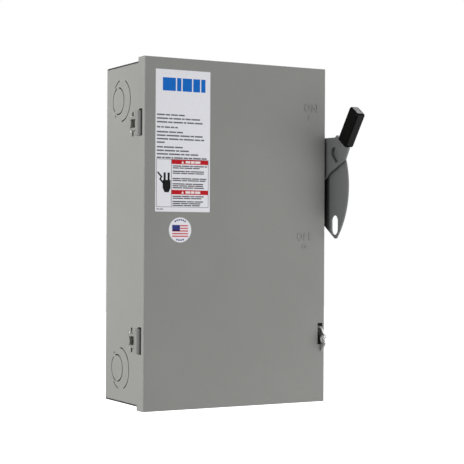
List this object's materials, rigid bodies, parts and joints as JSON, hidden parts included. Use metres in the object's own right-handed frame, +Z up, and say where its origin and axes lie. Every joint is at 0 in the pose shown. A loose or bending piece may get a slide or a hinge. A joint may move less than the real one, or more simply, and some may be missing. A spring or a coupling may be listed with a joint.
{
  "type": "enclosed safety switch",
  "caption": "Wall-mounted steel switch box with a hinged door, a side operating handle with a padlock guard, a door latch and a fused knife switch inside.",
  "frame": {"origin": "middle of the four wall mounting holes, on the back plane", "axes": "+X to the right seen from the front, +Y into the wall, +Z up"},
  "size_m": [0.2328, 0.1622, 0.365],
  "materials": {
    "grey_paint": "semi-gloss baked enamel",
    "dark_grey_paint": "semi-gloss baked enamel",
    "zinc_steel": "zinc plated",
    "brass": "plain",
    "copper_alloy": "plain",
    "aluminium": "plain",
    "black_grip": "satin moulded",
    "black_moulding": "matt moulded",
    "white_moulding": "matt moulded",
    "label_white": "printed film",
    "fuse_tube": "wrapped fibre"
  },
  "bodies": {
    "enclosure": {"enclosure_wrap": "grey_paint", "top_end_wall": "grey_paint", "bottom_end_wall": "grey_paint", "latch_strike": "zinc_steel", "handle_bushing": "brass", "guard_plate": "dark_grey_paint", "guard_screws": "zinc_steel", "left_bearing": "zinc_steel", "right_bearing": "zinc_steel", "switch_base": "black_moulding", "base_standoffs": "zinc_steel", "base_screws": "zinc_steel", "line_shield": "black_moulding", "neutral_insulator": "white_moulding", "neutral_bar": "aluminium", "neutral_lugs": "aluminium", "neutral_screws": "zinc_steel", "ground_lug": "aluminium", "ground_screw": "zinc_steel", "hinge_hood_upper": "grey_paint", "hinge_hood_lower": "grey_paint", "line_jaw_left": "copper_alloy", "hinge_clip_left": "copper_alloy", "load_strap_left": "copper_alloy", "line_lug_left": "aluminium", "line_lug_screw_left": "zinc_steel", "load_lug_left": "aluminium", "load_lug_screw_left": "zinc_steel", "line_jaw_right": "copper_alloy", "hinge_clip_right": "copper_alloy", "load_strap_right": "copper_alloy", "line_lug_right": "aluminium", "line_lug_screw_right": "zinc_steel", "load_lug_right": "aluminium", "load_lug_screw_right": "zinc_steel"},
    "door": {"door_panel": "grey_paint", "safety_label": "label_white", "round_sticker": "label_white", "latch_bracket": "zinc_steel", "latch_pin": "zinc_steel", "hinge_leaf_upper": "grey_paint", "hinge_leaf_lower": "grey_paint", "hinge_pin_upper": "zinc_steel", "hinge_pin_lower": "zinc_steel"},
    "latch": {"latch_lever": "zinc_steel"},
    "handle": {"handle_lever": "dark_grey_paint", "handle_grip": "black_grip", "handle_shaft": "zinc_steel", "shaft_clip": "zinc_steel"},
    "rotor": {"crossbar": "black_moulding", "blade_left": "copper_alloy", "blade_right": "copper_alloy"},
    "fuse_left": {"fuse_tube_left": "fuse_tube", "fuse_ferrules_left": "copper_alloy"},
    "fuse_right": {"fuse_tube_right": "fuse_tube", "fuse_ferrules_right": "copper_alloy"}
  },
  "joints": [
    {"name": "door_hinge", "type": "hinge", "parent": "enclosure", "child": "door", "pos_m": [-0.1101, -0.0679, 0], "axis": [0, 0, -1], "range_deg": [0, 130]},
    {"name": "latch_pivot", "type": "hinge", "parent": "door", "child": "latch", "pos_m": [0.1055, -0.092, -0.101], "axis": [-1, 0, 0], "range_deg": [0, 30], "stiffness_Nm_per_rad": 0.02, "springref_deg": -17.19},
    {"name": "handle_throw", "type": "hinge", "parent": "enclosure", "child": "handle", "pos_m": [0.1155, -0.053, 0.053], "axis": [1, 0, 0], "range_deg": [0, 70]},
    {"name": "rotor_turn", "type": "hinge", "parent": "enclosure", "child": "rotor", "pos_m": [0.0325, -0.053, 0.053], "axis": [1, 0, 0], "range_deg": [0, 70]},
    {"name": "fuse_pull_left", "type": "slide", "parent": "enclosure", "child": "fuse_left", "axis": [0, -1, 0], "range_m": [0, 0.036]},
    {"name": "fuse_pull_right", "type": "slide", "parent": "enclosure", "child": "fuse_right", "axis": [0, -1, 0], "range_m": [0, 0.036]}
  ],
  "couplings": [
    {"joint": "rotor_turn", "follows": "handle_throw", "ratio": 1}
  ]
}
